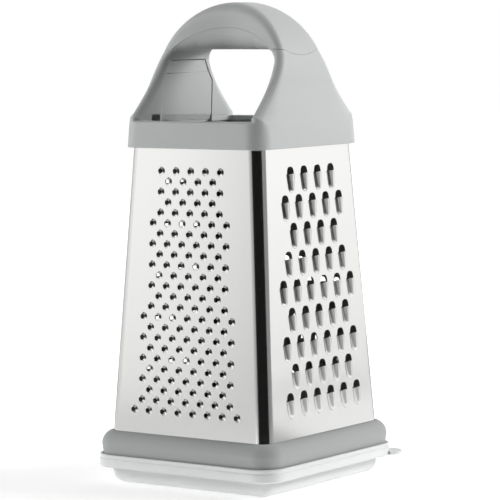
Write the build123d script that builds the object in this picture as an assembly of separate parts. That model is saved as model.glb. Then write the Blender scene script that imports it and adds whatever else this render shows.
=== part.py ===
from build123d import *
from math import cos, radians, sin, sqrt, tan
import os

# Four-sided box grater standing on its catch tray, in millimetres with +Z up.
# The origin is the centre of the tray's flat base.
# The fine face looks along -Y, the coarse face +X, the medium face +Y and the slicing face -X.

# Steel body: a tapered tube of two bent sheets, measured outside at its lower edge
sheet_t = 0.5
sheet_bottom_z = 15.6
sheet_top_z = 181.0
foot_half_x = 49.64
foot_half_y = 51.54
taper_deg = 3.54
bend_r = 6.4
lap = 8.0
lap_setback = 1.5
fit_gap = 0.15

# Fine face: pierced crowns
fine_row_counts = (5, 4, 5, 4, 5, 6, 5, 6, 5, 6, 5, 6, 5, 6, 7, 6, 7, 6, 7, 6, 7, 6, 7, 8)
fine_pitch = 9.1
fine_row_step = 5.24
fine_top_z = 158.9
fine_shift = -0.96
crown_r = 2.3
crown_tip_r = 1.55
crown_h = 1.1
crown_hole = 2.0

# Coarse face: scoops with an arched hole above each
coarse_row_counts = (4, 5, 4, 5, 6, 5, 6, 5, 6)
coarse_pitch = 11.87
coarse_row_step = 13.94
coarse_top_z = 156.7
coarse_shift = 1.8
coarse_half_w = 2.9
coarse_h = 2.0
coarse_length = 9.0
coarse_tip_r = 1.3
coarse_hole_h = 4.3

# Medium face: the same tooth, smaller
medium_row_counts = (5, 6, 5, 6, 5, 6, 7, 6, 7, 6, 7, 6)
medium_pitch = 8.9
medium_row_step = 10.2
medium_top_z = 158.0
medium_half_w = 2.1
medium_h = 1.6
medium_length = 6.6
medium_tip_r = 0.95
medium_hole_h = 3.4

# Slicing face: wide louvres with a slot above each
louvre_count = 5
louvre_w = 56.0
louvre_step = 24.0
louvre_top_z = 150.0
louvre_h = 2.0
louvre_ramp = 12.0
louvre_slot_h = 3.5
louvre_corner_r = 1.5

# Base: a stiff channel that grips the sheets, inside a soft ring
channel_wall = 1.3
channel_floor = 1.0
channel_h = 9.0
ring_stand = 5.6
ring_widest_z = 20.5
ring_top_z = 26.9
ring_draft = 0.8
ring_shoulder_r = 5.0
ring_foot_r = 1.6

# Catch tray: a tub under a ledge with a bead, a skirt and a pull tab
tray_wall = 1.4
ledge_z = 13.0
rim_gap = 0.6
rim_wall = 1.5
rim_top_z = 15.3
crease_z = 13.3
skirt_z = 8.7
lobe_r = 0.7
tub_inset = 6.9
tub_floor_r = 6.0
tab_reach = 6.9
tab_half_w = 8.0
tab_t = 1.5
tab_rise = 0.4

# Handle: a collar over the steel's top, two legs, a hollow grip
collar_stand = 3.2
collar_bottom_z = 170.3
web_t = 2.55
kink_rise = 3.4
opening_h = 35.2
crown_rise = 23.7
arch_r = 40.1
leg_depth = 4.3
leg_wall = 2.2
neck_half_y = 17.5
leg_flare_shares = (0.42, 0.36, 0.22)
leg_level_shares = (0.0, 0.2, 0.4, 0.6, 0.8, 1.0)
lip_r = 3.1
lip_w = 3.5
opening_inset = 5.4
opening_corner_r = 7.0
waist_half_y = 12.0
grip_wall = 2.4
crown_edge_r = 6.0
palm_edge_r = 4.0
seam_inset = 1.0
seam_depth = 12.6
tongue_half_y = 14.5
tongue_drop = 2.9
tongue_t = 1.4

# Grip liner: panels inside the legs, on a frame that clamps the sheets in the collar
panel_half_y = 21.2
panel_shoulder_drop = 15.9
clamp_bottom_z = 172.0
clamp_wall = 2.9
throat_r = 3.0

# One reach past every face that a cut goes through
overrun = 20.0

# Heights and widths that follow from the sizes above
taper = tan(radians(taper_deg))
web_z = sheet_top_z + fit_gap
opening_half_x = foot_half_x - (sheet_top_z - sheet_bottom_z) * taper - opening_inset
sill_z = web_z + web_t
kink_z = sill_z + kink_rise
part_z = sill_z + opening_h
top_z = part_z + crown_rise
arch_z = top_z - arch_r
crown_half_x = sqrt(arch_r**2 - (part_z - arch_z) ** 2)
opening_top_half_x = crown_half_x - leg_depth
seam_half_x = opening_top_half_x - seam_inset
seam_top_z = top_z - seam_depth
panel_shoulder_z = part_z - panel_shoulder_drop


def plan(z, stand):
    """Level outline of the steel at height z, moved outwards by stand."""
    corner_r = bend_r + stand
    return Pos(0, 0, z) * RectangleRounded(2 * (half_x(z) + stand), 2 * (half_y(z) + stand), corner_r)


def tapered(z0, z1, stand):
    """Solid between two heights with the steel's four leaning faces, moved outwards by stand."""
    x0 = half_x(z0) + stand
    y0 = half_y(z0) + stand
    lean_in = (z1 - z0) * taper
    block = Wedge(2 * x0, z1 - z0, 2 * y0, lean_in, lean_in, 2 * x0 - lean_in, 2 * y0 - lean_in)
    block = Pos(0, 0, (z0 + z1) / 2) * Rot(90, 0, 0) * block
    uprights = block.edges().filter_by(lambda edge: abs(edge.tangent_at(0).Z) > cos(radians(45)))
    return fillet(uprights, bend_r + stand * cos(radians(taper_deg)))


def half_x(z):
    return foot_half_x - (z - sheet_bottom_z) * taper


def half_y(z):
    return foot_half_y - (z - sheet_bottom_z) * taper


def face_plane(side, z, stand):
    """Plane on a face moved outwards by stand, at height z: x across it, y up its slope, z out of it."""
    lean = radians(taper_deg)
    x = half_x(z) + stand
    y = half_y(z) + stand
    if side == "fine":
        return Plane(origin=(0, -y, z), x_dir=(1, 0, 0), z_dir=(0, -cos(lean), sin(lean)))
    if side == "coarse":
        return Plane(origin=(x, 0, z), x_dir=(0, 1, 0), z_dir=(cos(lean), 0, sin(lean)))
    if side == "medium":
        return Plane(origin=(0, y, z), x_dir=(-1, 0, 0), z_dir=(0, cos(lean), sin(lean)))
    return Plane(origin=(-x, 0, z), x_dir=(0, -1, 0), z_dir=(-cos(lean), 0, sin(lean)))


def tooth_places(counts, pitch, row_step, shift):
    """Centres of the teeth on a face, row by row from the top, each row centred."""
    places = []
    for row, count in enumerate(counts):
        for column in range(count):
            across = (column - (count - 1) / 2) * pitch + shift
            places.append(Pos(across, -row * row_step, 0))
    return places


def crown_tools():
    """A fine tooth: the crown raised by the punch, and the square hole through it."""
    crown = Cone(crown_r, crown_tip_r, crown_h, align=(Align.CENTER, Align.CENTER, Align.MIN))
    hole = Rot(0, 0, 45) * Box(crown_hole, crown_hole, 2 * (crown_h + sheet_t))
    return crown, hole


def scoop_tools(half_w, height, length, tip_r, hole_h):
    """A scoop tooth: its raised shell, and the hollow under it with the arched hole above it."""
    axis_drop = half_w - height
    run = length - tip_r

    def pod(wall):
        mouth = Plane(origin=(0, 0, -axis_drop), x_dir=(1, 0, 0), z_dir=(0, -1, 0))
        tip = Pos(0, -run, -axis_drop) * Sphere(tip_r - wall)
        shape = Cone(half_w - wall, tip_r - wall, run, align=(Align.CENTER, Align.CENTER, Align.MIN))
        return mouth * shape + tip

    above = Pos(0, 0, height) * Box(4 * half_w, 4 * length, 2 * height)
    shell = pod(0) & above
    arch = Pos(0, hole_h - half_w, 0) * Circle(half_w) + Rectangle(
        2 * half_w, hole_h - half_w, align=(Align.CENTER, Align.MIN)
    )
    hole = extrude(arch, height, both=True)
    return shell, pod(sheet_t) + hole


def louvre_tools():
    """A slicing louvre: its raised ramp, and the hollow under it with the slot above it."""
    side = Plane.YZ
    ramp = make_face(Polyline((-louvre_ramp, 0), (0, 0), (0, louvre_h), close=True))
    under = make_face(
        Polyline(
            (-louvre_ramp, -sheet_t),
            (0, louvre_h - sheet_t),
            (0, -2 * sheet_t),
            (-louvre_ramp, -2 * sheet_t),
            close=True,
        )
    )
    shell = extrude(side * ramp, louvre_w / 2, both=True)
    hollow = extrude(side * under, louvre_w / 2 - sheet_t, both=True)
    slot = extrude(
        Pos(0, louvre_slot_h / 2, 0) * RectangleRounded(louvre_w, louvre_slot_h, louvre_corner_r),
        louvre_h,
        both=True,
    )
    return shell, hollow + slot


def punched(sheet, plane, places, raised, hole):
    """The sheet with one tooth at each place on a face."""
    frame = plane.location
    sheet = sheet + [frame * place * raised for place in places]
    return sheet - [frame * place * hole for place in places]


def rear_window(setback):
    """Everything behind the lines where the front sheet's flanges end, moved by setback."""
    inset = bend_r + setback
    mid_z = (sheet_bottom_z + sheet_top_z) / 2
    reach = 2 * sheet_top_z
    block = Box(reach, reach, reach, align=(Align.CENTER, Align.CENTER, Align.MAX))
    behind_fine = face_plane("fine", mid_z, -inset).location * block
    behind_coarse = face_plane("coarse", mid_z, -inset).location * block
    return behind_fine & behind_coarse


def front_sheet():
    """The L of steel with the fine and coarse faces, and a flange round each far corner."""
    sheet = tapered(sheet_bottom_z, sheet_top_z, 0) - tapered(sheet_bottom_z, sheet_top_z, -sheet_t)
    sheet = sheet - rear_window(lap)
    crown, crown_cut = crown_tools()
    fine = tooth_places(fine_row_counts, fine_pitch, fine_row_step, fine_shift)
    sheet = punched(sheet, face_plane("fine", fine_top_z, 0), fine, crown, crown_cut)
    scoop, scoop_cut = scoop_tools(coarse_half_w, coarse_h, coarse_length, coarse_tip_r, coarse_hole_h)
    coarse = tooth_places(coarse_row_counts, coarse_pitch, coarse_row_step, coarse_shift)
    return punched(sheet, face_plane("coarse", coarse_top_z, 0), coarse, scoop, scoop_cut)


def rear_sheet():
    """The L of steel with the medium and slicing faces, lapped inside the front sheet's flanges."""
    outside = tapered(sheet_bottom_z, sheet_top_z, -sheet_t)
    sheet = outside - tapered(sheet_bottom_z, sheet_top_z, -2 * sheet_t)
    sheet = sheet & rear_window(lap_setback)
    scoop, scoop_cut = scoop_tools(medium_half_w, medium_h, medium_length, medium_tip_r, medium_hole_h)
    medium = tooth_places(medium_row_counts, medium_pitch, medium_row_step, 0)
    plane = face_plane("medium", medium_top_z, -sheet_t)
    sheet = punched(sheet, plane, medium, scoop, scoop_cut)
    louvre, louvre_cut = louvre_tools()
    slots = tooth_places((1,) * louvre_count, 0, louvre_step, 0)
    plane = face_plane("slicing", louvre_top_z, -sheet_t)
    return punched(sheet, plane, slots, louvre, louvre_cut)


def base_frame():
    """Stiff channel round the lower edge of both sheets."""
    bottom = sheet_bottom_z - channel_floor
    top = bottom + channel_h
    inner = 2 * sheet_t + fit_gap
    channel = tapered(bottom, top, fit_gap + channel_wall) - tapered(bottom, top, -inner - channel_wall)
    groove = tapered(sheet_bottom_z, top, fit_gap) - tapered(sheet_bottom_z, top, -inner)
    return channel - groove


def ring_plan(z, stand):
    """Level outline that follows the ring's widest outline, moved outwards by stand."""
    width = 2 * (half_x(ring_widest_z) + ring_stand + stand)
    depth = 2 * (half_y(ring_widest_z) + ring_stand + stand)
    return Pos(0, 0, z) * RectangleRounded(width, depth, bend_r + ring_stand + stand)


def base_ring():
    """Soft bulging ring moulded over the channel, with its foot under it."""
    upper = extrude(ring_plan(ring_widest_z, 0), ring_top_z - ring_widest_z)
    upper = fillet(upper.faces().sort_by(Axis.Z)[-1].edges(), ring_shoulder_r)
    lower = loft([ring_plan(ledge_z, -ring_draft), ring_plan(ring_widest_z, 0)], ruled=True)
    lower = fillet(lower.faces().sort_by(Axis.Z)[0].edges(), ring_foot_r)
    channel_bottom = sheet_bottom_z - channel_floor
    channel_top = channel_bottom + channel_h
    throat = 2 * sheet_t + fit_gap + channel_wall
    ring = upper + lower
    ring = ring - tapered(channel_bottom, channel_top, fit_gap + channel_wall)
    ring = ring - tapered(channel_top, ring_top_z, fit_gap)
    return ring - tapered(ledge_z, channel_bottom, -throat)


def rim_plan(z, stand):
    """Level outline of the tray's rim, moved outwards by stand."""
    return ring_plan(z, stand - ring_draft + rim_gap + rim_wall)


def rim_lobe(z0, z1):
    """One rounded band of the rim."""
    band = extrude(rim_plan(z0, 0), z1 - z0)
    ends = band.faces().sort_by(Axis.Z)
    band = fillet(ends[0].edges() + ends[-1].edges(), lobe_r)
    return band - extrude(rim_plan(z0, -rim_wall), z1 - z0)


def tub(stand, z0, edge_r):
    """The tub's outside, or its hollow when moved inwards."""
    solid = extrude(rim_plan(z0, stand - tub_inset), ledge_z - z0)
    return fillet(solid.faces().sort_by(Axis.Z)[0].edges(), edge_r)


def tray():
    """Shallow tray whose rim the ring stands in."""
    ledge = extrude(rim_plan(ledge_z - tray_wall, -rim_wall / 2), tray_wall)
    body = tub(0, 0, tub_floor_r) + ledge + rim_lobe(crease_z, rim_top_z) + rim_lobe(skirt_z, crease_z)
    corner_r = bend_r + ring_stand - ring_draft + rim_gap + rim_wall
    corner_x = half_x(ring_widest_z) + ring_stand - ring_draft + rim_gap + rim_wall - corner_r
    corner_y = half_y(ring_widest_z) + ring_stand - ring_draft + rim_gap + rim_wall - corner_r
    reach = corner_r + tab_reach - tab_half_w
    strip = Rectangle(reach, 2 * tab_half_w, align=(Align.MIN, Align.CENTER))
    end = Pos(reach, 0) * Circle(tab_half_w)
    tab = extrude(Pos(corner_x, corner_y, skirt_z + tab_rise) * Rot(0, 0, 45) * (strip + end), tab_t)
    tab = tab - extrude(rim_plan(skirt_z, -rim_wall / 2), rim_top_z - skirt_z)
    return body + tab - tub(-tray_wall, tray_wall, tub_floor_r - tray_wall)


def leg_section(z, inset):
    """Level outline of both legs together at height z, moved inwards by inset."""
    drop_share = (part_z - z) / (part_z - kink_z)
    spread_share = sum(part * drop_share ** (power + 1) for power, part in enumerate(leg_flare_shares))
    leg_half_y = neck_half_y + (half_y(kink_z) + collar_stand - neck_half_y) * spread_share
    if z > arch_z:
        leg_half_x = sqrt(arch_r**2 - (z - arch_z) ** 2)
    else:
        foot = half_x(kink_z) + collar_stand
        leg_half_x = arch_r + (foot - arch_r) * (arch_z - z) / (arch_z - kink_z)
    edge_r = lip_r + (bend_r + collar_stand - lip_r) * drop_share**3
    outline = RectangleRounded(2 * (leg_half_x - inset), 2 * (leg_half_y - inset), edge_r - inset)
    return Pos(0, 0, z) * outline


def leg_block(inset):
    """Both legs as one lofted block, from the collar to the grip's parting line."""
    levels = [part_z + (kink_z - part_z) * share for share in leg_level_shares]
    return loft([leg_section(z, inset) for z in levels])


def side_on(outline):
    """An outline drawn in X and Z, run through the whole depth of the handle."""
    return extrude(Plane.XZ * outline, foot_half_y + overrun, both=True)


def opening_outline(bottom_z):
    """Hand opening seen along Y, with its sides carried down to bottom_z."""
    flare = (opening_half_x - opening_top_half_x) / (part_z - sill_z)
    foot = opening_half_x + flare * (sill_z - bottom_z)
    top = opening_top_half_x
    corners = [(-foot, bottom_z), (foot, bottom_z), (top, part_z), (-top, part_z)]
    outline = make_face(Polyline(*corners, close=True))
    return fillet(outline.vertices().sort_by(Axis.Y)[-2:], opening_corner_r)


def panel_band(bottom_z, gap):
    """The slab, seen along X, that the liner's panels lie in, widened by gap."""
    neck = neck_half_y - lip_w + gap
    shoulder = panel_half_y + gap
    mid_z = (panel_shoulder_z + part_z) / 2
    mid = (leg_section(mid_z, 0).bounding_box().size.Y) / 2 - lip_w + gap
    right = ThreePointArc((shoulder, panel_shoulder_z), (mid, mid_z), (neck, part_z))
    left = ThreePointArc((-neck, part_z), (-mid, mid_z), (-shoulder, panel_shoulder_z))
    feet = Polyline(
        (-shoulder, panel_shoulder_z),
        (-shoulder, bottom_z),
        (shoulder, bottom_z),
        (shoulder, panel_shoulder_z),
    )
    top = Line((neck, part_z), (-neck, part_z))
    outline = make_face(Curve() + [right, top, left, feet])
    return extrude(Plane.YZ * outline, foot_half_x + overrun, both=True)


def tongues():
    """The rounded ends of the grip cover that lap down the outside of the legs."""
    arc = ThreePointArc((-tongue_half_y, part_z), (0, part_z - tongue_drop), (tongue_half_y, part_z))
    outline = make_face(Curve() + [arc, Line((tongue_half_y, part_z), (-tongue_half_y, part_z))])
    slab = extrude(Plane.YZ * outline, foot_half_x + overrun, both=True)
    middle = Pos(0, 0, part_z) * Box(2 * (crown_half_x - tongue_t), 2 * foot_half_y, 2 * overrun)
    return (leg_block(0) & slab) - middle


def handle_frame():
    """Collar and legs, one moulding."""
    frame = tapered(collar_bottom_z, kink_z, collar_stand) + leg_block(0)
    frame = frame - side_on(opening_outline(sill_z))
    frame = frame - tapered(collar_bottom_z, web_z, fit_gap)
    inner_wall = side_on(offset(opening_outline(sill_z), leg_wall))
    frame = frame - (leg_block(leg_wall) - inner_wall)
    throat_half_y = half_y(sheet_top_z) - 2 * sheet_t - clamp_wall
    throat = RectangleRounded(2 * opening_half_x, 2 * throat_half_y, throat_r)
    frame = frame - extrude(Pos(0, 0, web_z) * throat, sill_z - web_z)
    slots = side_on(offset(opening_outline(clamp_bottom_z), leg_wall + fit_gap))
    frame = frame - (slots & panel_band(clamp_bottom_z, fit_gap))
    return frame - tongues()


def grip_region(inset):
    """The waisted grip seen from above, moved inwards by inset."""
    end_x = arch_r
    end_y = neck_half_y - inset
    mid_y = waist_half_y - inset
    front = ThreePointArc((-end_x, -end_y), (0, -mid_y), (end_x, -end_y))
    back = ThreePointArc((end_x, end_y), (0, mid_y), (-end_x, end_y))
    sides = [Line((end_x, -end_y), (end_x, end_y)), Line((-end_x, end_y), (-end_x, -end_y))]
    outline = make_face(Curve() + [front, back] + sides)
    return extrude(Pos(0, 0, part_z - tongue_drop) * outline, top_z - part_z + tongue_drop)


def seam_arc():
    """Parting line between the grip's two halves, drawn in X and Z."""
    return ThreePointArc((-seam_half_x, part_z), (0, seam_top_z), (seam_half_x, part_z))


def grip_liner():
    """Underside of the grip, the panels in the legs and the clamp frame, one moulding."""
    opening = opening_outline(clamp_bottom_z)
    panels = side_on(offset(opening, leg_wall)) - side_on(opening)
    panels = panels & panel_band(clamp_bottom_z, 0)
    clamp_top = sheet_top_z - fit_gap
    clamp_out = -2 * sheet_t - fit_gap
    clamp = tapered(clamp_bottom_z, clamp_top, clamp_out)
    clamp = clamp - tapered(clamp_bottom_z, clamp_top, clamp_out - clamp_wall)
    lens = make_face(Curve() + [seam_arc(), Line((seam_half_x, part_z), (-seam_half_x, part_z))])
    palm = extrude(Plane.XZ * lens, neck_half_y, both=True) & grip_region(0)
    floor_edges = palm.faces().sort_by(Axis.Z)[0].edges()
    long_edges = floor_edges.filter_by(lambda edge: edge.length > 2 * neck_half_y)
    palm = fillet(long_edges, palm_edge_r)
    above_floor = Pos(0, 0, part_z + grip_wall) * Box(
        4 * seam_half_x, 4 * neck_half_y, top_z - part_z, align=(Align.CENTER, Align.CENTER, Align.MIN)
    )
    trough = grip_region(grip_wall) & above_floor
    return panels + clamp + (palm - trough)


def grip_cover():
    """Upper half of the grip, a hollow arch that snaps on over the liner."""
    outer = ThreePointArc((crown_half_x, part_z), (0, top_z), (-crown_half_x, part_z))
    right = Line((seam_half_x, part_z), (crown_half_x, part_z))
    left = Line((-crown_half_x, part_z), (-seam_half_x, part_z))
    outline = make_face(Curve() + [outer, left, seam_arc(), right])
    cover = extrude(Plane.XZ * outline, neck_half_y, both=True) & grip_region(0)
    crown = cover.faces().sort_by(Axis.Z)[-1]
    rims = crown.edges().filter_by(lambda edge: edge.length > 2 * neck_half_y)
    cover = fillet(rims, crown_edge_r)
    under = Pos(0, 0, arch_z) * Cylinder(arch_r - grip_wall, 2 * neck_half_y, rotation=(90, 0, 0))
    hollow = under & grip_region(grip_wall)
    crown = hollow.faces().sort_by(Axis.Z)[-1]
    rims = crown.edges().filter_by(lambda edge: edge.length > 2 * neck_half_y)
    hollow = fillet(rims, crown_edge_r - grip_wall)
    return cover - hollow + tongues()


makers = (tray, base_frame, base_ring, front_sheet, rear_sheet, handle_frame, grip_liner, grip_cover)

os.makedirs("parts", exist_ok=True)
for maker in makers:
    solid = maker()
    export_step(solid, f"parts/{maker.__name__}.step")
    print(maker.__name__, len(solid.solids()), "solids", round(solid.volume), "cubic mm")
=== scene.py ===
from math import cos, pi, radians, sin, tan

import bpy
import numpy as np
from mathutils import Matrix, Vector
from mathutils.geometry import delaunay_2d_cdt


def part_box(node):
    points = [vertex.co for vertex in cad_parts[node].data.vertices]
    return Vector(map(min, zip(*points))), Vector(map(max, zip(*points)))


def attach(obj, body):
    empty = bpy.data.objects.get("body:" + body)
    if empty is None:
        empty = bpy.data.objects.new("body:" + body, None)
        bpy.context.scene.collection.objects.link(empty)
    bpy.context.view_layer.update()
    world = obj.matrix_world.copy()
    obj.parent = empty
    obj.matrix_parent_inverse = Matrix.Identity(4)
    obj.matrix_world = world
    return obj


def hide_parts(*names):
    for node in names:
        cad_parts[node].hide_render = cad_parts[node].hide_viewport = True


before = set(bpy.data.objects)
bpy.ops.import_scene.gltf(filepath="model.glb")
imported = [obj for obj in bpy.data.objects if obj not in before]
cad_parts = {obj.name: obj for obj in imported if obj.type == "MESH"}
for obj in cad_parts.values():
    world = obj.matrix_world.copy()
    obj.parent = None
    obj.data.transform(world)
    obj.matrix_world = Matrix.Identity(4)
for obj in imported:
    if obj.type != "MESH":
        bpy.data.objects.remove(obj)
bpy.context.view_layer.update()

MM = 0.001

# Catch tray: one soft translucent polypropylene moulding about 1.4 mm thick. A tub hangs inside a ledge,
# and the rim round the ledge has a bead above and a skirt below with a crease between them.
# A flat pull tab stands out at one corner.
tray_low, tray_high = (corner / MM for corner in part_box("tray"))
rim_half_x = -tray_low.x
rim_half_y = -tray_low.y
rim_corner_r = 13.3
rim_top_z = tray_high.z
rim_wall = 1.5
bead_r = 0.75
crease_z = 13.2
crease_depth = 0.5
ledge_z = 13.0
skirt_z = 8.7
tray_wall = 1.4
tub_inset = 6.9
tub_floor_r = 6.0
tub_lip_r = 0.8
tab_half_w = 8.0
tab_reach = 6.9
tab_t = 1.5
tab_z = 9.1
tab_edge_r = 0.5


def arc(centre, r, start, end, steps):
    """Points along an arc, in degrees from the first axis towards the second."""
    angles = np.radians(np.linspace(start, end, steps + 1))
    return [(centre[0] + r * cos(a), centre[1] + r * sin(a)) for a in angles]


def rounded_rectangle(half_x, half_y, corner_r, steps=12):
    """Points round a level rectangle with rounded corners, counter-clockwise."""
    points = []
    for quarter, (side_x, side_y) in enumerate(((1, 1), (-1, 1), (-1, -1), (1, -1))):
        centre = (side_x * (half_x - corner_r), side_y * (half_y - corner_r))
        points += arc(centre, corner_r, 90 * quarter, 90 * quarter + 90, steps)
    return points


def swept(profile, half_x, half_y, corner_r, closed):
    """A profile of (distance outwards, height) points run round a rectangle: points and faces."""
    rings = [rounded_rectangle(half_x + out, half_y + out, corner_r + out) for out, z in profile]
    points = [(x, y, z) for ring, (out, z) in zip(rings, profile) for x, y in ring]
    count = len(rings[0])
    faces = []
    for row in range(len(rings) if closed else len(rings) - 1):
        below = row * count
        above = (row + 1) % len(rings) * count
        for i in range(count):
            j = (i + 1) % count
            faces.append((below + i, below + j, above + j, above + i))
    if not closed:
        faces.append(tuple(reversed(range(count))))
        faces.append(tuple(range((len(rings) - 1) * count, len(rings) * count)))
    return points, faces


def piece(name, points, faces, body, replaced, sharp_degrees=40):
    """An object made of points in millimetres that rides on a body and stands for a CAD node."""
    mesh = bpy.data.meshes.new(name)
    mesh.from_pydata([Vector(p) * MM for p in points], [], faces)
    mesh.validate()
    mesh.shade_smooth()
    mesh.set_sharp_from_angle(angle=radians(sharp_degrees))
    made = bpy.data.objects.new(name, mesh)
    bpy.context.scene.collection.objects.link(made)
    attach(made, body)
    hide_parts(replaced)
    return made


def linear(code):
    """A colour written as sRGB hex, as the linear values that a shader takes."""
    values = [int(code[i:i + 2], 16) / 255 for i in (0, 2, 4)]
    return [v / 12.92 if v <= 0.04045 else ((v + 0.055) / 1.055) ** 2.4 for v in values] + [1.0]


def add(material, kind, links=(), **settings):
    """A node with its settings. A link is (socket here, node it comes from, socket there)."""
    made = material.node_tree.nodes.new(kind)
    for name, value in settings.items():
        if name in made.inputs:
            made.inputs[name].default_value = value
        else:
            setattr(made, name, value)
    for socket, source, output in links:
        material.node_tree.links.new(source.outputs[output], made.inputs[socket])
    return made


def finish(name, sockets):
    """A material whose main shader has these sockets set, and the shader."""
    material = bpy.data.materials.new(name)
    material.use_nodes = True
    shader = material.node_tree.nodes["Principled BSDF"]
    for socket, value in sockets.items():
        shader.inputs[socket].default_value = value
    return material, shader


def grained(name, grain_mm, depth_mm, mottle, sockets):
    """A moulded finish: a fine spark-eroded grain in the surface and a slight mottle in its gloss."""
    cloud_mm = 14
    material, shader = finish(name, sockets)
    place = add(material, "ShaderNodeTexCoord")
    at = [("Vector", place, "Object")]
    grain = add(material, "ShaderNodeTexNoise", at, Scale=1 / (grain_mm * MM))
    bump = add(material, "ShaderNodeBump", [("Height", grain, "Fac")], Distance=depth_mm * MM, Strength=1.0)
    cloud = add(material, "ShaderNodeTexNoise", at, Scale=1 / (cloud_mm * MM), Detail=3.0)
    rough = sockets["Roughness"]
    span = {"To Min": rough - mottle, "To Max": rough + mottle}
    spread = add(material, "ShaderNodeMapRange", [("Value", cloud, "Fac")], **span)
    material.node_tree.links.new(bump.outputs["Normal"], shader.inputs["Normal"])
    material.node_tree.links.new(spread.outputs["Result"], shader.inputs["Roughness"])
    return material


def tray_profile():
    """The tray's section, from the underside of the floor out round the rim and back to the inside."""
    tub_out = -tub_inset
    tub_in = tub_out - tray_wall
    floor_out = tub_out - tub_floor_r
    under = ledge_z - tray_wall
    bead_z = rim_top_z - bead_r
    profile = arc((floor_out, tub_floor_r), tub_floor_r, -90, 0, 8)
    profile += arc((tub_out + tub_lip_r, under - tub_lip_r), tub_lip_r, 180, 90, 4)
    profile += [(-rim_wall, under)]
    profile += arc((-rim_wall / 2, skirt_z + rim_wall / 2), rim_wall / 2, 180, 360, 8)
    profile += arc((-bead_r, crease_z - bead_r), bead_r, 0, 60, 4)
    profile += [(-crease_depth, crease_z)]
    profile += arc((-bead_r, bead_z), bead_r, -50, 180, 12)
    profile += arc((-rim_wall - bead_r / 2, ledge_z + bead_r / 2), bead_r / 2, 0, -90, 3)
    profile += arc((tub_in + tub_lip_r, ledge_z - tub_lip_r), tub_lip_r, 90, 180, 5)
    profile += arc((floor_out, tub_floor_r), tub_floor_r - tray_wall, 0, -90, 8)
    return profile


def tab_mesh(first):
    """The pull tab: a rounded tongue on the corner's diagonal, with softened edges."""
    reach = rim_corner_r + tab_reach - tab_half_w
    start = rim_corner_r - rim_wall / 2
    diagonal = cos(pi / 4)
    levels = [(tab_edge_r, 0), (0, tab_edge_r), (0, tab_t - tab_edge_r), (tab_edge_r, tab_t)]
    points = []
    for inset, rise in levels:
        w = tab_half_w - inset
        outline = [(start, -w)] + arc((reach, 0), w, -90, 90, 24) + [(start, w)]
        for along, across in outline:
            x = rim_half_x - rim_corner_r + (along - across) * diagonal
            y = rim_half_y - rim_corner_r + (along + across) * diagonal
            points.append((x, y, tab_z + rise))
    count = len(points) // len(levels)
    faces = [tuple(first + i for i in reversed(range(count)))]
    for row in range(len(levels) - 1):
        for i in range(count):
            j = (i + 1) % count
            low, high = first + row * count, first + (row + 1) * count
            faces.append((low + i, low + j, high + j, high + i))
    faces.append(tuple(first + len(points) - count + i for i in range(count)))
    return points, faces


tub_points, tub_faces = swept(tray_profile(), rim_half_x, rim_half_y, rim_corner_r, False)
tab_points, tab_faces = tab_mesh(len(tub_points))
tray = piece("catch_tray", tub_points + tab_points, tub_faces + tab_faces, "tray", "tray")
# Natural polypropylene, unpainted: milky white, lets some soft light through and shines dully.
milky_polypropylene = grained("milky_polypropylene", 0.6, 0.004, 0.05, {
    "Base Color": linear("ECEEED"),
    "Roughness": 0.34,
    "IOR": 1.49,
    "Transmission Weight": 0.15,
})
tray.data.materials.append(milky_polypropylene)


# Base frame: a stiff grey channel round the foot of the steel, out of sight inside the soft ring.
# It is a hard injection moulding pressed on over both sheets. The CAD solid shows it, under this finish:
# glass-filled polypropylene, darker than the rubber over it, with a coarse matt grain.
hard_grey_moulding = grained("hard_grey_moulding", 0.4, 0.01, 0.05, {
    "Base Color": linear("8D8F8F"),
    "Roughness": 0.5,
    "IOR": 1.5,
})


def dress(node, material):
    """The CAD node keeps its shape and takes this material."""
    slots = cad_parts[node].data.materials
    slots.clear()
    slots.append(material)


dress("base_frame", hard_grey_moulding)


# Base ring: a soft grey thermoplastic rubber moulded over the channel, the grater's non-slip foot.
# Its section is a fat bulge that thins to a lip against the steel, over a foot that stands in the tray.
ring_low, ring_high = (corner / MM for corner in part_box("base_ring"))
sheet_low, sheet_high = (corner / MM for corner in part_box("front_sheet"))
lean = radians(3.54)
taper = tan(lean)
bend_r = 6.4
sheet_t = 0.5
fit_gap = 0.15
ring_half_x = -ring_low.x
ring_half_y = -ring_low.y
ring_stand = 5.6
ring_widest_z = 20.5
ring_lip = 0.3
ring_steps = 12
ring_rise_power = 1.75
ring_out_power = 0.57
ring_foot_in = 0.8
ring_foot_r = 1.6
channel_stand = 1.45
channel_bottom_z = 14.6
channel_top_z = 23.6
throat_stand = -2.45


def half_x(z):
    """Half the steel's width at a height."""
    return -sheet_low.x - (z - sheet_low.z) * taper


def half_y(z):
    """Half the steel's depth at a height."""
    return -sheet_low.y - (z - sheet_low.z) * taper


def ring_profile():
    """The ring's section as distances from its widest outline, once round."""
    def beside_steel(z, stand):
        return half_x(z) + stand - ring_half_x, z

    lip_out = beside_steel(ring_high.z, fit_gap)[0] + ring_lip
    rise = ring_high.z - ring_widest_z
    profile = []
    for step in range(ring_steps + 1):
        level = sin(pi / 2 * step / ring_steps)
        out = lip_out * (1 - (1 - level**ring_rise_power) ** ring_out_power)
        profile.append((out, ring_widest_z + rise * level))
    profile += [beside_steel(ring_high.z, fit_gap), beside_steel(channel_top_z, fit_gap)]
    profile += [beside_steel(channel_top_z, channel_stand), beside_steel(channel_bottom_z, channel_stand)]
    profile += [beside_steel(channel_bottom_z, throat_stand), beside_steel(ring_low.z, throat_stand)]
    foot_out = -ring_foot_in - ring_foot_r
    profile += arc((foot_out, ring_low.z + ring_foot_r), ring_foot_r, -90, 0, 6)
    return profile[::-1]


ring_points, ring_faces = swept(ring_profile(), ring_half_x, ring_half_y, bend_r + ring_stand, True)
ring = piece("base_ring_soft", ring_points, ring_faces, "grater", "base_ring")
ring.data.flip_normals()
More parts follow.
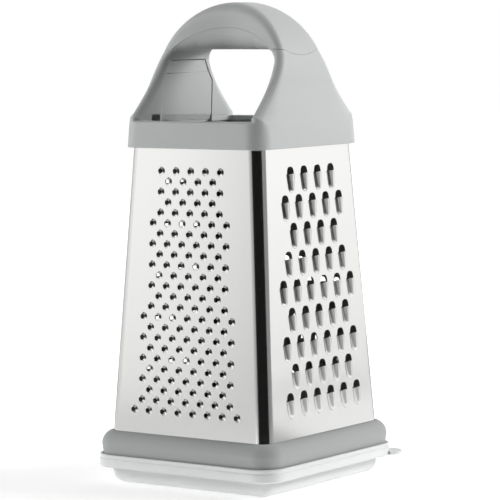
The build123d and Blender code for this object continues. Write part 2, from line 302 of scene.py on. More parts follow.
# Thermoplastic rubber with an eroded grain: an even, dead matt grey.
soft_grey_rubber = grained("soft_grey_rubber", 0.5, 0.012, 0.04, {
    "Base Color": linear("A4A6A6"),
    "Roughness": 0.62,
    "IOR": 1.5,
})
ring.data.materials.append(soft_grey_rubber)


# Front sheet: half a millimetre of stainless steel, pierced flat, then bent to an L and mirror polished.
# The fine face has crowns of four torn petals, the coarse face scoops that lean over an arched hole.
# A narrow flange turns round each far corner, where the rear sheet is spot welded inside it.
sheet_bottom_z = sheet_low.z
sheet_top_z = sheet_high.z
flange_w = 8.0
bend_steps = 10
fine_row_counts = (5, 4, 5, 4, 5, 6, 5, 6, 5, 6, 5, 6, 5, 6, 7, 6, 7, 6, 7, 6, 7, 6, 7, 8)
fine_pitch = 9.1
fine_row_step = 5.24
fine_top_z = 158.9
fine_shift = -0.96
coarse_row_counts = (4, 5, 4, 5, 6, 5, 6, 5, 6)
coarse_pitch = 11.87
coarse_row_step = 13.94
coarse_top_z = 156.7
coarse_shift = 1.8
flat_finish, tooth_finish, inner_finish = 0, 1, 2
outward = {
    "fine": (0, -1),
    "coarse": (1, 0),
    "medium": (0, 1),
    "slicing": (-1, 0),
}


def face_axes(side):
    """Unit vectors of a leaning face: across it, up its slope and out of it."""
    x, y = outward[side]
    out = np.array((x * cos(lean), y * cos(lean), sin(lean)))
    across = np.array((-y, x, 0.0))
    return across, np.cross(out, across), out


def face_point(side, z, stand):
    """The point on a face's centre line at height z, moved outwards by stand."""
    x, y = outward[side]
    return np.array((x * (half_x(z) + stand), y * (half_y(z) + stand), z))


def bend_point(side, turn, z, stand):
    """A point and its normal on the bend from one face to the next, turn going from 0 to 1."""
    order = ("fine", "coarse", "medium", "slicing")
    after = order[(order.index(side) + 1) % 4]
    out_a, out_b = face_axes(side)[2], face_axes(after)[2]
    angle = np.arccos(out_a @ out_b)
    normal = (sin((1 - turn) * angle) * out_a + sin(turn * angle) * out_b) / sin(angle)
    r = bend_r + stand * cos(lean)
    rim = np.array((out_a, out_b, (0.0, 0.0, 1.0)))
    reach_a = face_point(side, z, stand) @ out_a - r
    reach_b = face_point(after, z, stand) @ out_b - r
    return np.linalg.solve(rim, (reach_a, reach_b, z - r * normal[2])) + r * normal, normal


def crown_patch():
    """A fine tooth: points, metal thickness and faces of a crown whose torn rim has four low petals. Each
    ring has a radius, a height, what a petal adds to either, its twist and the metal's thickness."""
    count = 24
    angles = np.arange(count) * 2 * pi / count
    petal = np.abs(np.sin(2 * angles))
    rings = [
        (2.18, 0.00, 0.0, 0.00, 0.00, sheet_t),
        (2.02, 0.08, 0.0, 0.00, 0.00, 0.45),
        (1.82, 0.29, 0.0, 0.00, 0.05, 0.38),
        (1.62, 0.52, -0.02, 0.03, 0.10, 0.3),
        (1.42, 0.74, -0.03, 0.08, 0.18, 0.2),
        (1.26, 0.90, 0.05, 0.20, 0.26, 0.12),
    ]
    points, thickness, faces = [], [], []
    for radius, height, petal_out, petal_up, twist, t in rings:
        for a, share in zip(angles, petal):
            r = radius + petal_out * share
            points.append((r * cos(a + twist), r * sin(a + twist), height + petal_up * share))
            thickness.append(t)
    for row in range(len(rings) - 1):
        for i in range(count):
            j = (i + 1) % count
            low, high = row * count, (row + 1) * count
            faces.append((low + i, low + j, high + j, high + i))
    return np.array(points), thickness, faces, count


def scoop_patch(half_w, height, length, hole_h, section, arch_section, nose, rows):
    """A raised tooth below an arched hole. Each row is a share of its length, width and height. The tooth's
    cross-section and the hole's arch are superellipses of these powers, and nose is the lip's overhang."""
    across_steps = 16
    arch_steps = 20
    arch_share = 0.97
    tooth_t = 0.7 * sheet_t

    def superellipse(angle, squareness):
        c, s, power = cos(angle), sin(angle), 2 / squareness
        return (abs(c) ** power if c > 0 else -abs(c) ** power), max(s, 0.0) ** power

    shell = []
    for along, width, rise in rows:
        for j in range(across_steps + 1):
            u, w = superellipse(pi - pi * j / across_steps, section)
            forward = nose * max(1 - u * u, 0.0) ** 0.5 * (1 - along) ** 3
            shell.append((u * width * half_w, forward - along * length, w * rise * height))
    shell = np.array(shell)
    row = across_steps + 1
    last = len(rows) - 1
    arch = []
    for step in range(1, arch_steps):
        u, v = superellipse(pi * step / arch_steps, arch_section)
        arch.append((u * half_w * arch_share, v * hole_h, 0.0))
    left = [shell[i * row] for i in range(last + 1)]
    bottom = [shell[last * row + j] for j in range(1, across_steps)]
    right = [shell[i * row + across_steps] for i in range(last, -1, -1)]
    points = arch + left + bottom + right
    count = len(points)
    index = {}
    for i in range(last + 1):
        index[i * row] = len(arch) + i
        index[i * row + across_steps] = count - 1 - i
    for j in range(1, across_steps):
        index[last * row + j] = len(arch) + last + j
    for k, p in enumerate(shell):
        if k not in index:
            index[k] = len(points)
            points.append(tuple(p))
    faces = []
    for i in range(last):
        for j in range(across_steps):
            a, b = i * row + j, (i + 1) * row + j
            faces.append((index[a], index[b], index[b + 1], index[a + 1]))
    thickness = [sheet_t if k < count else tooth_t for k in range(len(points))]
    return np.array(points), thickness, faces, count


def tooth_places(counts, pitch, row_step, shift):
    """Centres of the teeth on a face, row by row from the top, each row centred."""
    places = []
    for row, count in enumerate(counts):
        for column in range(count):
            places.append(((column - (count - 1) / 2) * pitch + shift, -row * row_step))
    return places


class Steel:
    """A bent and punched sheet, gathered face by face as points and faces with a normal at each corner."""

    def __init__(self, stand):
        self.stand = stand
        self.points = []
        self.normals = []
        self.thickness = []
        self.faces = []
        self.corners = []
        self.finishes = []

    def at(self, point, normal, thickness=sheet_t):
        self.points.append(point)
        self.normals.append(normal)
        self.thickness.append(thickness)
        return len(self.points) - 1

    def face(self, indices, normals, finish_index=flat_finish):
        self.faces.append(tuple(indices))
        self.corners.append(normals)
        self.finishes.append(finish_index)

    def strip(self, edges):
        """Quads between neighbouring upright edges, each edge a lower and an upper point."""
        for (low_a, high_a), (low_b, high_b) in zip(edges, edges[1:]):
            quad = (low_a, low_b, high_b, high_a)
            self.face(quad, [self.normals[i] for i in quad])

    def bend(self, side):
        """The rounded corner after a face: its upright edges from first to last."""
        edges = []
        for step in range(bend_steps + 1):
            turn = step / bend_steps
            low = self.at(*bend_point(side, turn, sheet_bottom_z, self.stand))
            high = self.at(*bend_point(side, turn, sheet_top_z, self.stand))
            edges.append((low, high))
        self.strip(edges)
        return edges

    def beside(self, edge, side, shift):
        """An upright edge moved across a flat face."""
        across, up, out = face_axes(side)
        return tuple(self.at(self.points[i] + across * shift, out) for i in edge)

    def punched(self, side, first_edge, last_edge, plane_z, patch, places):
        """A flat face between two upright edges with the same tooth punched at each place."""
        across, up, out = face_axes(side)
        origin = face_point(side, plane_z, self.stand)
        tooth, thickness, tooth_faces, loop_count = patch
        outline = [first_edge[0], last_edge[0], last_edge[1], first_edge[1]]
        flat = [((self.points[i] - origin) @ across, (self.points[i] - origin) @ up) for i in outline]
        source = list(outline)
        loops = [list(range(4))]
        smooth = self.patch_normals(tooth @ np.array((across, up, out)), tooth_faces)
        for u, v in places:
            moved = tooth + (u, v, 0.0)
            world = origin + moved @ np.array((across, up, out))
            first = len(self.points)
            for k, point in enumerate(world):
                self.at(point, out if k < loop_count else smooth[k], thickness[k])
            for face in tooth_faces:
                self.face([first + i for i in face], [smooth[i] for i in face], tooth_finish)
            loops.append(list(range(len(flat), len(flat) + loop_count)))
            flat += [tuple(p[:2]) for p in moved[:loop_count]]
            source += range(first, first + loop_count)
        edges = [(loop[i - 1], loop[i]) for loop in loops for i in range(len(loop))]
        result = delaunay_2d_cdt([Vector(p) for p in flat], edges, loops, 1, 1e-6)
        for face, holders in zip(result[2], result[5]):
            if holders == [0]:
                ring = [source[result[3][i][0]] for i in face]
                a, b, c = (self.points[i] for i in ring)
                forward = np.cross(b - a, c - a) @ out > 0
                self.face(ring if forward else ring[::-1], [out] * len(ring))

    @staticmethod
    def patch_normals(world, faces):
        """Smooth normals at a tooth's points, from its own faces."""
        total = np.zeros_like(world)
        for face in faces:
            corner = world[list(face)]
            across = np.cross(corner[2] - corner[0], corner[3] - corner[1])
            for i in face:
                total[i] += across
        return total / np.maximum(np.linalg.norm(total, axis=1), 1e-12)[:, None]

    def thickened(self, name, node, finishes):
        """The finished object: the gathered skin, its inner side and the cut edges between them.
        The finishes are those of the flat skin, the teeth, and the inner side with the cut edges."""
        count = len(self.points)
        skin = np.array(self.points)
        inner = skin - np.array(self.normals) * np.array(self.thickness)[:, None]
        faces = self.faces + [tuple(count + i for i in face[::-1]) for face in self.faces]
        corner_normals = [n for corners in self.corners for n in corners]
        corner_normals += [-n for corners in self.corners for n in corners[::-1]]
        finish_indices = self.finishes + [inner_finish] * len(self.faces)
        sides = set()
        for face in self.faces:
            sides.update(zip(face, face[1:] + face[:1]))
        points = np.concatenate((skin, inner))
        for a, b in sorted(sides):
            if (b, a) not in sides:
                rim = (b, a, count + a, count + b)
                corner = points[list(rim)]
                facing = np.cross(corner[2] - corner[0], corner[3] - corner[1])
                facing /= max(np.linalg.norm(facing), 1e-12)
                faces.append(rim)
                finish_indices.append(inner_finish)
                corner_normals += [facing] * 4
        mesh = bpy.data.meshes.new(name)
        mesh.from_pydata((points * MM).tolist(), [], faces)
        mesh.shade_smooth()
        mesh.normals_split_custom_set([tuple(n) for n in corner_normals])
        mesh.polygons.foreach_set("material_index", finish_indices)
        for material in finishes:
            mesh.materials.append(material)
        made = bpy.data.objects.new(name, mesh)
        bpy.context.scene.collection.objects.link(made)
        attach(made, "grater")
        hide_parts(node)
        return made


def stainless(name, colour, smoothest, roughest):
    """Stainless steel with faint upright lines in its gloss, left by rolling and polishing."""
    material, shader = finish(name, {
        "Base Color": linear(colour),
        "Metallic": 1.0,
        "Roughness": smoothest,
    })
    line_w = 0.35 * MM
    line_length = 60 * MM
    place = add(material, "ShaderNodeTexCoord")
    stretch = add(material, "ShaderNodeMapping", [("Vector", place, "Object")])
    stretch.inputs["Scale"].default_value = (1 / line_w, 1 / line_w, 1 / line_length)
    lines = add(material, "ShaderNodeTexNoise", [("Vector", stretch, "Vector")], Scale=1.0, Detail=2.0)
    span = {"To Min": smoothest, "To Max": roughest}
    gloss = add(material, "ShaderNodeMapRange", [("Value", lines, "Fac")], **span)
    material.node_tree.links.new(gloss.outputs["Result"], shader.inputs["Roughness"])
    return material


# Stainless steel 18/10, with upright lines of rolling drawn coarser than real: a near mirror where it is
# buffed, silky where the punch has stretched it, and dull inside, where it keeps its mill finish. The
# inside and the cut edges are also coloured far darker than steel is: painted shade for the grater's dark
# inside.
polished_stainless = stainless("polished_stainless", "F6F6F4", 0.09, 0.15)
punched_stainless = stainless("punched_stainless", "F2F2F0", 0.26, 0.34)
shaded_mill_stainless = stainless("shaded_mill_stainless", "8C8B88", 0.36, 0.46)
steel_finishes = (polished_stainless, punched_stainless, shaded_mill_stainless)
front = Steel(0.0)
near_bend = front.bend("fine")
far_bend = front.bend("coarse")
left_bend = front.bend("slicing")
fine_places = tooth_places(fine_row_counts, fine_pitch, fine_row_step, fine_shift)
front.punched("fine", left_bend[-1], near_bend[0], fine_top_z, crown_patch(), fine_places)


def scoop_share(s):
    """How wide and how high a scoop still is at a share of its length from the mouth."""
    return 1 - 0.4 * s - 0.1 * s * s, 1 - 0.15 * s


toe_start = 0.75
toe_tip_w = 0.08
scoop_rows = [(s, *scoop_share(s)) for s in np.linspace(0, toe_start, 9)]
for angle in np.radians((16, 32, 47, 60, 71, 80)):
    s = toe_start + (1 - toe_start) * sin(angle)
    w, h = scoop_share(s)
    scoop_rows.append((s, w * cos(angle), h * cos(angle)))
scoop_rows.append((1.0, toe_tip_w, 0.0))
coarse_scoop = scoop_patch(
    half_w=3.1, height=1.6, length=8.7, hole_h=4.3,
    section=1.85, arch_section=2.8, nose=0.7, rows=scoop_rows,
)
coarse_places = tooth_places(coarse_row_counts, coarse_pitch, coarse_row_step, coarse_shift)
front.punched("coarse", near_bend[-1], far_bend[0], coarse_top_z, coarse_scoop, coarse_places)
front.strip([far_bend[-1], front.beside(far_bend[-1], "medium", flange_w)])
front.strip([front.beside(left_bend[0], "slicing", -flange_w), left_bend[0]])
front.thickened("front_sheet_polished", "front_sheet", steel_finishes)


# Rear sheet: the same steel with the medium scoops and five slicing louvres, lapped inside the front
# sheet's flanges and spot welded there. Its edges stop just short of the front sheet's bends.
lap_setback = 1.5
medium_row_counts = (5, 6, 5, 6, 5, 6, 7, 6, 7, 6, 7, 6)
medium_pitch = 8.9
medium_row_step = 10.2
medium_top_z = 158.0
louvre_count = 5
louvre_step = 24.0
louvre_top_z = 150.0
rear = Steel(-sheet_t)
rear_bend = rear.bend("medium")
right_edge = tuple(rear.at(*bend_point("coarse", 1.0, z, -sheet_t)) for z in (sheet_bottom_z, sheet_top_z))
left_edge = tuple(rear.at(*bend_point("slicing", 0.0, z, -sheet_t)) for z in (sheet_bottom_z, sheet_top_z))
medium_edge = rear.beside(right_edge, "medium", lap_setback)
slicing_edge = rear.beside(left_edge, "slicing", -lap_setback)
medium_scoop = scoop_patch(
    half_w=2.1, height=1.3, length=6.2, hole_h=3.2,
    section=1.85, arch_section=2.8, nose=0.5, rows=scoop_rows,
)
medium_places = tooth_places(medium_row_counts, medium_pitch, medium_row_step, 0.0)
rear.punched("medium", medium_edge, rear_bend[0], medium_top_z, medium_scoop, medium_places)
louvre_rows = [(s, 1.0, 1 - s * s * (3 - 2 * s)) for s in np.linspace(0, 1, 11)]
louvre = scoop_patch(
    half_w=28.0, height=2.0, length=12.0, hole_h=3.5,
    section=9.0, arch_section=9.0, nose=0.0, rows=louvre_rows,
)
louvre_places = tooth_places((1,) * louvre_count, 0.0, louvre_step, 0.0)
rear.punched("slicing", rear_bend[-1], slicing_edge, louvre_top_z, louvre, louvre_places)
rear.thickened("rear_sheet_polished", "rear_sheet", steel_finishes)


# Handle frame: one satin grey ABS moulding. A collar caps the steel and two legs rise from it, flaring
# down into the collar's corners, with a rounded lip round the hand opening and a recess for the liner.
collar_low, collar_high = (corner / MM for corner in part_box("handle_frame"))
crown_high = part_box("grip_cover")[1] / MM
top_z = crown_high.z
part_z = collar_high.z
collar_bottom_z = collar_low.z
sill_z = 183.7
kink_z = 187.1
arch_r = 40.1
arch_z = top_z - arch_r


def both(a, b, r):
    """Distance to what two shapes share, its edge rounded."""
    return np.minimum(-r, np.maximum(a, b)) + np.hypot(np.maximum(a + r, 0), np.maximum(b + r, 0))


def either(a, b, r):
    """Distance to two shapes together, the inner corner between them filled."""
    return np.maximum(r, np.minimum(a, b)) - np.hypot(np.maximum(r - a, 0), np.maximum(r - b, 0))


# The legs' flanks sweep out from the neck to the collar's face as a cubic with these three parts.
collar_stand = 3.2
neck_half_y = 17.5
leg_curve = (0.42, 0.36, 0.22)


def leg_depth(z):
    """Half the legs' depth at a height, and how fast it falls with height."""
    share = (part_z - z) / (part_z - kink_z)
    spread = half_y(kink_z) + collar_stand - neck_half_y
    a, b, c = leg_curve
    depth = neck_half_y + spread * (a * share + b * share**2 + c * share**3)
    fall = spread * (a + 2 * b * share + 3 * c * share**2) / (part_z - kink_z)
    return depth, fall


leg_foot_power = 1.5
leg_flank_r = 2.5
leg_side_r = 2.0
leg_corner_r = 3.1
leg_corner_growth = 6.5


def leg_skin(x, y, z):
    """Distance to the collar and legs as if they were one solid block."""
    depth, fall = leg_depth(z)
    slope = np.hypot(1, fall)
    collar_y = np.abs(y) - half_y(z) - collar_stand
    flank = both((np.abs(y) - depth) / slope, collar_y, leg_flank_r)
    foot = half_x(kink_z) + collar_stand
    drop_share = np.maximum(arch_z - z, 0) / (arch_z - kink_z)
    straight = np.abs(x) - arch_r - (foot - arch_r) * drop_share**leg_foot_power
    round_top = np.hypot(x, z - arch_z) - arch_r
    collar_x = np.abs(x) - half_x(z) - collar_stand
    side = both(np.where(z > arch_z, round_top, straight), collar_x, leg_side_r)
    corner_r = leg_corner_r + leg_corner_growth * np.clip((part_z - z) / (part_z - kink_z), 0, 1) ** 3
    return both(side, flank, corner_r)


opening_half_x = 34.6
opening_taper = 0.0483


def opening_side(x, z):
    """Distance from a leg into the hand opening, as if its corners were sharp."""
    return opening_half_x - opening_taper * (z - sill_z) - np.abs(x)


opening_corner_r = 7.0


def opening_edge(x, z):
    """Distance from the handle into the hand opening, whose upper corners are rounded."""
    u = opening_corner_r - opening_side(x, z)
    v = z - part_z + opening_corner_r
    return opening_corner_r - np.hypot(np.maximum(u, 0), np.maximum(v, 0)) - np.minimum(np.maximum(u, v), 0)


lip_r = 2.6
lip_growth = 3.0


def lip_inside(z):
    """Radius of the rounded edge round the hand opening, larger lower down where the legs are thicker."""
    return lip_r + lip_growth * np.clip((part_z - z) / (part_z - sill_z), 0, 1)


panel_half_y = 21.2
panel_inset = 5.3


def panel_reach(z):
    """Half the depth of the liner's panels at a height."""
    return np.minimum(panel_half_y, leg_depth(z)[0] - panel_inset)


def steel_block(x, y, z, stand):
    """Distance to the steel's four leaning faces, moved outwards by stand."""
    return both(np.abs(x) - half_x(z) - stand, np.abs(y) - half_y(z) - stand, bend_r + stand)


tongue_half_y = 14.5
tongue_drop = 2.9


def parting_height(y):
    """Height of the line where the cover meets the legs, which dips to a tongue in the middle."""
    return part_z - tongue_drop * np.maximum(1 - (y / tongue_half_y) ** 2, 0)


collar_top_r = 1.1
collar_foot_r = 0.5
collar_fillet_r = 0.4
hollow_r = 0.25
seam_gap = 0.03
seam_r = 0.12
clamp_t = 2.9
throat_corner_r = 3.0
panel_t = 1.7
panel_gap = 0.15
notch_y = -26.5
notch_half_w = 3.5
notch_in = 4.0
notch_drop = 2.6
notch_r = 1.0
clear = 0.2


def frame_field(x, y, z):
    """Distance to the handle frame."""
    skin = leg_skin(x, y, z)
    legs = both(skin, opening_edge(x, z), lip_inside(z))
    legs = np.maximum(legs, opening_side(x, z))
    collar = both(skin, z - sill_z, collar_top_r)
    solid = either(legs, collar, collar_fillet_r)
    solid = both(solid, z - parting_height(y) + seam_gap, seam_r)
    solid = both(solid, collar_bottom_z - z, collar_foot_r)
    pocket = np.maximum(steel_block(x, y, z, fit_gap), z - sheet_top_z - fit_gap)
    throat_y = half_y(sheet_top_z) - 2 * sheet_t - clamp_t
    throat = both(np.abs(x) - opening_half_x, np.abs(y) - throat_y, throat_corner_r)
    throat = np.maximum(throat, z - sill_z - clear)
    recess_x = -opening_edge(x, z) - panel_t - fit_gap
    recess = np.maximum(recess_x, np.abs(y) - panel_reach(z) - panel_gap)
    notch_side = np.maximum(np.abs(y - notch_y) - notch_half_w, -x - opening_half_x - notch_in)
    notch = np.maximum(both(notch_side, z - sill_z - notch_drop, notch_r), x)
    for hollow in (pocket, throat, recess, notch):
        solid = both(solid, -hollow, hollow_r)
    return solid


def surfaced(field, low, high, step):
    """A shape's surface from its distance field: in each cell that it crosses, the point nearest to all
    the surface planes found on the cell's edges, so that sharp edges stay sharp. Gives its points, its
    quads and the field's gradient function."""
    margin = 3.6
    corner = np.array([a - margin for a in low])
    axes = [np.arange(a - margin, b + margin, step) for a, b in zip(low, high)]
    value = field(*np.meshgrid(*axes, indexing="ij"))
    solid = value < 0
    cells = [n - 1 for n in value.shape]
    probe = 0.03
    glancing = 0.15
    stiffness = 0.02
    longest_move = 0.8 * step

    def gradient(p):
        ahead = [field(*(p + probe * unit).T) for unit in np.eye(3)]
        behind = [field(*(p - probe * unit).T) for unit in np.eye(3)]
        return (np.stack(ahead, 1) - np.stack(behind, 1)) / (2 * probe)

    # For each axis, the grid's edges whose two ends lie on either side of the surface.
    crossings, planes, owners, quads = [], [], [], []
    for axis in range(3):
        before = tuple(slice(None, -1) if k == axis else slice(None) for k in range(3))
        after = tuple(slice(1, None) if k == axis else slice(None) for k in range(3))
        crossed = solid[before] != solid[after]
        start = np.argwhere(crossed)
        a, b = value[before][crossed], value[after][crossed]
        at = corner + step * start
        share = a / (a - b)
        # Two Newton steps along each edge onto the surface.
        for _ in range(2):
            at[:, axis] = corner[axis] + step * (start[:, axis] + share)
            slope = gradient(at)
            steep = np.where(np.abs(slope[:, axis]) > glancing, slope[:, axis], np.inf)
            share = np.clip(share - field(*at.T) / steep / step, 0, 1)
        at[:, axis] = corner[axis] + step * (start[:, axis] + share)
        slope = gradient(at)
        slope /= np.maximum(np.linalg.norm(slope, axis=1), 1e-9)[:, None]
        # A quad joins the four cells round each edge and faces outwards.
        ring = []
        for u, v in ((0, 0), (-1, 0), (-1, -1), (0, -1)):
            cell = start.copy()
            cell[:, (axis + 1) % 3] += u
            cell[:, (axis + 2) % 3] += v
            ring.append(np.ravel_multi_index(cell.T, cells))
        crossings += [at] * 4
        planes += [slope] * 4
        owners += ring
        ring = np.stack(ring, 1)
        outward_first = solid[before][crossed]
        ring[~outward_first] = ring[~outward_first][:, ::-1]
        quads.append(ring)
    # Each cell's point by least squares over its planes, drawn lightly to the middle of its crossings.
    used, index = np.unique(np.concatenate(owners), return_inverse=True)
    at, slope = np.concatenate(crossings), np.concatenate(planes)
    count = np.bincount(index)
    mean = np.stack([np.bincount(index, at[:, k]) / count for k in range(3)], 1)
    offset = ((at - mean[index]) * slope).sum(1)
    pull = np.stack([np.bincount(index, slope[:, k] * offset) for k in range(3)], 1)
    spread = np.empty((len(used), 3, 3))
    for i in range(3):
        for j in range(3):
            spread[:, i, j] = np.bincount(index, slope[:, i] * slope[:, j])
    spread += stiffness * count[:, None, None] * np.eye(3)
    move = np.linalg.solve(spread, pull[:, :, None])[:, :, 0]
    length = np.linalg.norm(move, axis=1)[:, None]
    points = mean + move * np.minimum(1, longest_move / np.maximum(length, 1e-9))
    return points, np.searchsorted(used, np.concatenate(quads)), gradient


def sculpted(name, field, node, material, step):
    """A moulded piece made from its distance field, which stands for a CAD node. The normals at a face's
    corners come from the field a little inside the face, so that an edge between faces stays crisp."""
    inside = 0.4
    low, high = (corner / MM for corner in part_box(node))
    points, quads, gradient = surfaced(field, low, high, step)
    corners = points[quads]
    middles = corners.mean(axis=1, keepdims=True)
    normals = gradient(((1 - inside) * corners + inside * middles).reshape(-1, 3))
    normals /= np.maximum(np.linalg.norm(normals, axis=1), 1e-9)[:, None]
    mesh = bpy.data.meshes.new(name)
    mesh.from_pydata((points * MM).tolist(), [], quads.tolist())
    mesh.shade_smooth()
    mesh.normals_split_custom_set(normals.tolist())
    mesh.materials.append(material)
    made = bpy.data.objects.new(name, mesh)
    bpy.context.scene.collection.objects.link(made)
    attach(made, "grater")
    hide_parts(node)
    return made


# ABS with a fine spark-eroded grain: even grey with a soft sheen.
satin_grey_abs = grained("satin_grey_abs", 0.35, 0.008, 0.04, {
    "Base Color": linear("B2B4B4"),
    "Roughness": 0.4,
    "IOR": 1.53,
})
moulding_step = 0.6
sculpted("handle_frame_moulding", frame_field, "handle_frame", satin_grey_abs, moulding_step)


# Grip liner: the grip's rounded underside, the flat panels down the inside of both legs and the frame
# that clamps the sheets in the collar, one moulding in the same ABS, pressed up into the handle.
grip_half_y = 12.0
grip_corner_r = 3.1
grip_corner_growth = 4.5


def grip_skin(x, y, z):
    """Distance to the waisted grip as if it were solid down to the collar."""
    reach = np.maximum(np.hypot(x, z - arch_z), 1e-6)
    level = np.where(z > arch_z, np.abs(x) / reach, 1.0)
    flat = np.sqrt(1 - ((part_z - arch_z) / arch_r) ** 2)
    depth = grip_half_y + (neck_half_y - grip_half_y) * (level / flat) ** 2
    crown_share = np.clip(1 - level / flat, 0, 1)
    return both(reach - arch_r, np.abs(y) - depth, grip_corner_r + grip_corner_growth * crown_share)


# The cover and the liner meet along an arc. The palm side is rounder in the middle of the grip, and the
# panels sink a little further into the legs near the sill.
seam_arc_r = 49.68
seam_drop = 12.6
seam_centre_z = top_z - seam_drop - seam_arc_r
palm_r = 8.0
palm_end_x = 32.0
palm_blend = 14.0
palm_rest = 0.02
heel_in = 0.05
heel_r = 0.15
panel_sink = 0.35
panel_r = 0.2
tuck_top_z = 185.6
tuck_lean = 0.03
tuck_slope = 0.3
tuck_in = 1.1
clamp_r = 0.3
liner_bottom_z = 172.0


def liner_field(x, y, z):
    """Distance to the grip liner."""
    edge = opening_edge(x, z)
    skin = np.where(z > part_z, grip_skin(x, y, z), leg_skin(x, y, z))
    inside_seam = np.hypot(x, z - seam_centre_z) - seam_arc_r + seam_gap
    waist_share = np.clip((palm_end_x - np.abs(x)) / palm_blend, 0, 1)
    palm = both(skin, edge, lip_inside(z) + (palm_r - lip_inside(part_z)) * waist_share)
    above = both(part_z - z + palm_rest, inside_seam, seam_r)
    heel = np.maximum(z - part_z - clear, heel_in - opening_side(x, z))
    palm = both(palm, np.minimum(above, heel), heel_r)
    tuck = np.clip((tuck_top_z - tuck_lean * y - z) * tuck_slope, 0, tuck_in)
    panel = both(edge + panel_sink + tuck, -edge - panel_t, panel_r)
    panel = both(panel, np.abs(y) - panel_reach(z), panel_r)
    panel = both(panel, np.maximum(z - part_z, liner_bottom_z - z), panel_r)
    clamp_stand = -2 * sheet_t - fit_gap
    clamp = both(steel_block(x, y, z, clamp_stand), -steel_block(x, y, z, clamp_stand - clamp_t), clamp_r)
    clamp = both(clamp, np.maximum(z - sheet_top_z + fit_gap, liner_bottom_z - z), clamp_r)
    return np.minimum(np.minimum(palm, panel), clamp)


sculpted("grip_liner_moulding", liner_field, "grip_liner", satin_grey_abs, moulding_step)


# Grip cover: the upper half of the grip, moulded in the same ABS and snapped on over the liner.
# Its rounded tongues lap down over the outside of the legs, clear of the liner's panels, which limit the
# cover only below the parting line.
far_off = 50.0


def cover_field(x, y, z):
    """Distance to the grip cover."""
    outside_seam = seam_arc_r + seam_gap - np.hypot(x, z - seam_centre_z)
    tongue_side = opening_side(x, z) + panel_t + fit_gap - (z > part_z) * far_off
    solid = both(grip_skin(x, y, z), parting_height(y) - z + seam_gap, seam_r)
    return both(solid, np.maximum(outside_seam, tongue_side), seam_r)


sculpted("grip_cover_moulding", cover_field, "grip_cover", satin_grey_abs, moulding_step)


# Studio: a plain pale floor, white all round, and paper cards that the camera doesn't see but the
# polished steel mirrors, as in the photograph. Each card's angles are in degrees from +X.
def stage_mesh(name, points, faces, colour):
    """The floor or a card, matt paper in one colour."""
    mesh = bpy.data.meshes.new(name)
    mesh.from_pydata([Vector(p) for p in points], [], faces)
    made = bpy.data.objects.new(name, mesh)
    bpy.context.scene.collection.objects.link(made)
    paper, shader = finish(name, {
        "Base Color": linear(colour),
        "Roughness": 1.0,
        "Specular IOR Level": 0.0,
    })
    mesh.materials.append(paper)
    return made


def curved_card(name, r, start, end, low_z, high_z, colour):
    """An upright card on a circle round the object."""
    steps = 32
    angles = np.radians(np.linspace(start, end, steps + 1))
    points = [(r * cos(a), r * sin(a), z) for a in angles for z in (low_z, high_z)]
    faces = [(2 * i, 2 * i + 2, 2 * i + 3, 2 * i + 1) for i in range(steps)]
    card = stage_mesh(name, points, faces, colour)
    card.visible_camera = False
    return card


def only_mirrored(card):
    """Leaves a card in reflections alone: it neither lights nor shades anything."""
    card.visible_camera = False
    card.visible_diffuse = False
    card.visible_shadow = False


def floor_card(name, near, far, start, end, colour):
    """A sheet lying on the floor between two distances from the object, only mirrored."""
    steps = 16
    off_floor = 0.001
    angles = np.radians(np.linspace(start, end, steps + 1))
    points = [(r * cos(a), r * sin(a), off_floor) for a in angles for r in (near, far)]
    faces = [(2 * i, 2 * i + 1, 2 * i + 3, 2 * i + 2) for i in range(steps)]
    only_mirrored(stage_mesh(name, points, faces, colour))


def glow(card, along_stops, upright_stops):
    """Makes a card light itself, its brightness running along +X and up it between stops."""
    paper = card.data.materials[0]
    place = add(paper, "ShaderNodeTexCoord")
    split = add(paper, "ShaderNodeSeparateXYZ", [("Vector", place, "Generated")])
    ramps = []
    for direction, stops in (("X", along_stops), ("Z", upright_stops)):
        ramp = add(paper, "ShaderNodeValToRGB", [("Fac", split, direction)])
        while len(ramp.color_ramp.elements) < len(stops):
            ramp.color_ramp.elements.new(0.5)
        for element, (position, level) in zip(ramp.color_ramp.elements, stops):
            element.position = position
            element.color = (level, level, level, 1)
        ramps.append(ramp)
    levels = [(0, ramps[0], "Color"), (1, ramps[1], "Color")]
    strength = add(paper, "ShaderNodeMath", levels, operation="MULTIPLY")
    shader = paper.node_tree.nodes["Principled BSDF"]
    shader.inputs["Emission Color"].default_value = (1, 1, 1, 1)
    paper.node_tree.links.new(strength.outputs["Value"], shader.inputs["Emission Strength"])


# The floor lights itself a little, slightly more away from the object.
floor_half = 6.0
corners = [(-floor_half, -floor_half, 0), (floor_half, -floor_half, 0)]
corners += [(floor_half, floor_half, 0), (-floor_half, floor_half, 0)]
studio_floor = stage_mesh("studio_floor", corners, [(0, 1, 2, 3)], "EEEEEE")
floor_paper = studio_floor.data.materials[0]
spot = add(floor_paper, "ShaderNodeTexCoord")
distance = add(floor_paper, "ShaderNodeVectorMath", [("Vector", spot, "Object")], operation="LENGTH")
floor_glow = add(floor_paper, "ShaderNodeMapRange", [("Value", distance, "Value")], **{
    "From Min": 0.1,
    "From Max": 0.8,
    "To Min": 0.4,
    "To Max": 0.42,
})
floor_shader = floor_paper.node_tree.nodes["Principled BSDF"]
floor_shader.inputs["Emission Color"].default_value = (1, 1, 1, 1)
floor_paper.node_tree.links.new(floor_glow.outputs["Result"], floor_shader.inputs["Emission Strength"])

# The black card by the camera darkens the bend between the front faces and shades the plastic, and the
# high one darkens what the fine teeth mirror. The grey card shades the coarse face's side, and the edge
# card keeps the steel's outline from fading into the white.
curved_card("black_card", 0.45, -86, -3, 0.002, 1.0, "1A1A1A")
curved_card("high_black_card", 0.8, 140, 215, 0.6, 1.6, "000000")
curved_card("grey_card", 1.0, 0, 45, 0.002, 0.34, "909090")
only_mirrored(curved_card("edge_card", 1.2, 84, 200, 0.002, 0.4, "A4A4A4"))

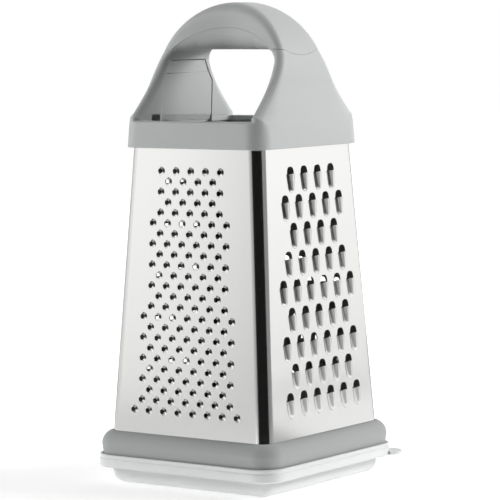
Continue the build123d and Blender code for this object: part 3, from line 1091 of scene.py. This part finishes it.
# Glowing cards: the fine face mirrors the left one and the coarse face the right one. The floor cards
# grey the floor that the lower steel and the ring mirror.
left_card = curved_card("left_card", 1.0, -178, -86, 0.002, 0.34, "000000")
left_level = [(0.0, 0.78), (0.2, 0.9), (0.33, 1.0), (0.385, 0.98), (0.415, 0.86), (0.44, 0.72)]
left_level += [(0.615, 0.55), (0.853, 0.33), (1.0, 0.22)]
left_rise = [(0.0, 0.8), (0.2, 0.9), (0.48, 0.97), (0.8, 1.0)]
glow(left_card, left_level, left_rise)
floor_card("left_floor_card", 0.25, 1.0, -185, -112, "E0E0E0")
right_card = curved_card("right_card", 1.0, 46, 80, 0.002, 0.34, "000000")
right_level = [(0.0, 0.98), (0.75, 1.02), (0.9, 1.04)]
right_rise = [(0.0, 0.82), (0.2, 0.9), (0.48, 0.98), (0.8, 1.02)]
glow(right_card, right_level, right_rise)
floor_card("right_floor_card", 0.25, 1.0, 45, 72, "F8F8F8")
floor_card("grey_floor_card", 0.2, 1.0, -2, 45, "ACACAC")
floor_card("black_floor_card", 0.2, 0.45, -86, -3, "202020")
floor_card("back_floor_card", 0.25, 1.2, 75, 175, "B4B4B4")


# Lights: two large soft lamps to the left and the right of the camera, the right one stronger, as in the
# photograph. Nothing mirrors them.
def soft_light(name, turn, power):
    """A square soft lamp aimed at the grater's middle from an angle in degrees from +X."""
    size = 1.6
    distance = 2.5
    rise = radians(19)
    middle = Vector((0, 0, 0.12))
    lamp = bpy.data.lights.new(name, "AREA")
    lamp.size = size
    lamp.energy = power
    lit = bpy.data.objects.new(name, lamp)
    bpy.context.scene.collection.objects.link(lit)
    turn = radians(turn)
    away = Vector((cos(turn) * cos(rise), sin(turn) * cos(rise), sin(rise)))
    lit.location = away * distance + middle
    lit.rotation_euler = away.to_track_quat("Z", "Y").to_euler()
    lit.visible_glossy = False


soft_light("left_light", -140, 42)
soft_light("right_light", 38, 82)


# World: white up to a good way above the horizon, and dimmer overhead.
world = bpy.data.worlds.new("studio_white")
world.use_nodes = True
heading = add(world, "ShaderNodeTexCoord")
height = add(world, "ShaderNodeSeparateXYZ", [("Vector", heading, "Generated")])
dome = add(world, "ShaderNodeMapRange", [("Value", height, "Z")], **{
    "From Min": 0.4,
    "From Max": 0.8,
    "To Min": 1.0,
    "To Max": 0.5,
})
world.node_tree.links.new(dome.outputs["Result"], world.node_tree.nodes["Background"].inputs["Color"])
bpy.context.scene.world = world
bpy.context.scene.view_settings.view_transform = "Standard"


# Camera: a long lens low in front of the corner between the fine and the coarse face. Its lens, place and
# angles were fitted to the corners of the steel, the collar and the ring in the photograph.
camera_data = bpy.data.cameras.new("photo_camera")
camera_data.lens = 196.597
camera_data.sensor_width = 36.0
camera = bpy.data.objects.new("photo_camera", camera_data)
bpy.context.scene.collection.objects.link(camera)
bpy.context.scene.camera = camera
turn, rise, roll = radians(35.57), radians(4.92), radians(-0.68)
back = Vector((sin(turn) * cos(rise), -cos(turn) * cos(rise), sin(rise)))
level = Vector((cos(turn), sin(turn), 0))
upright = back.cross(level)
right = cos(roll) * level + sin(roll) * upright
up = cos(roll) * upright - sin(roll) * level
placed = Matrix((right, up, back)).transposed().to_4x4()
placed.translation = (0.810504, -1.127463, 0.23613)
camera.matrix_world = placed
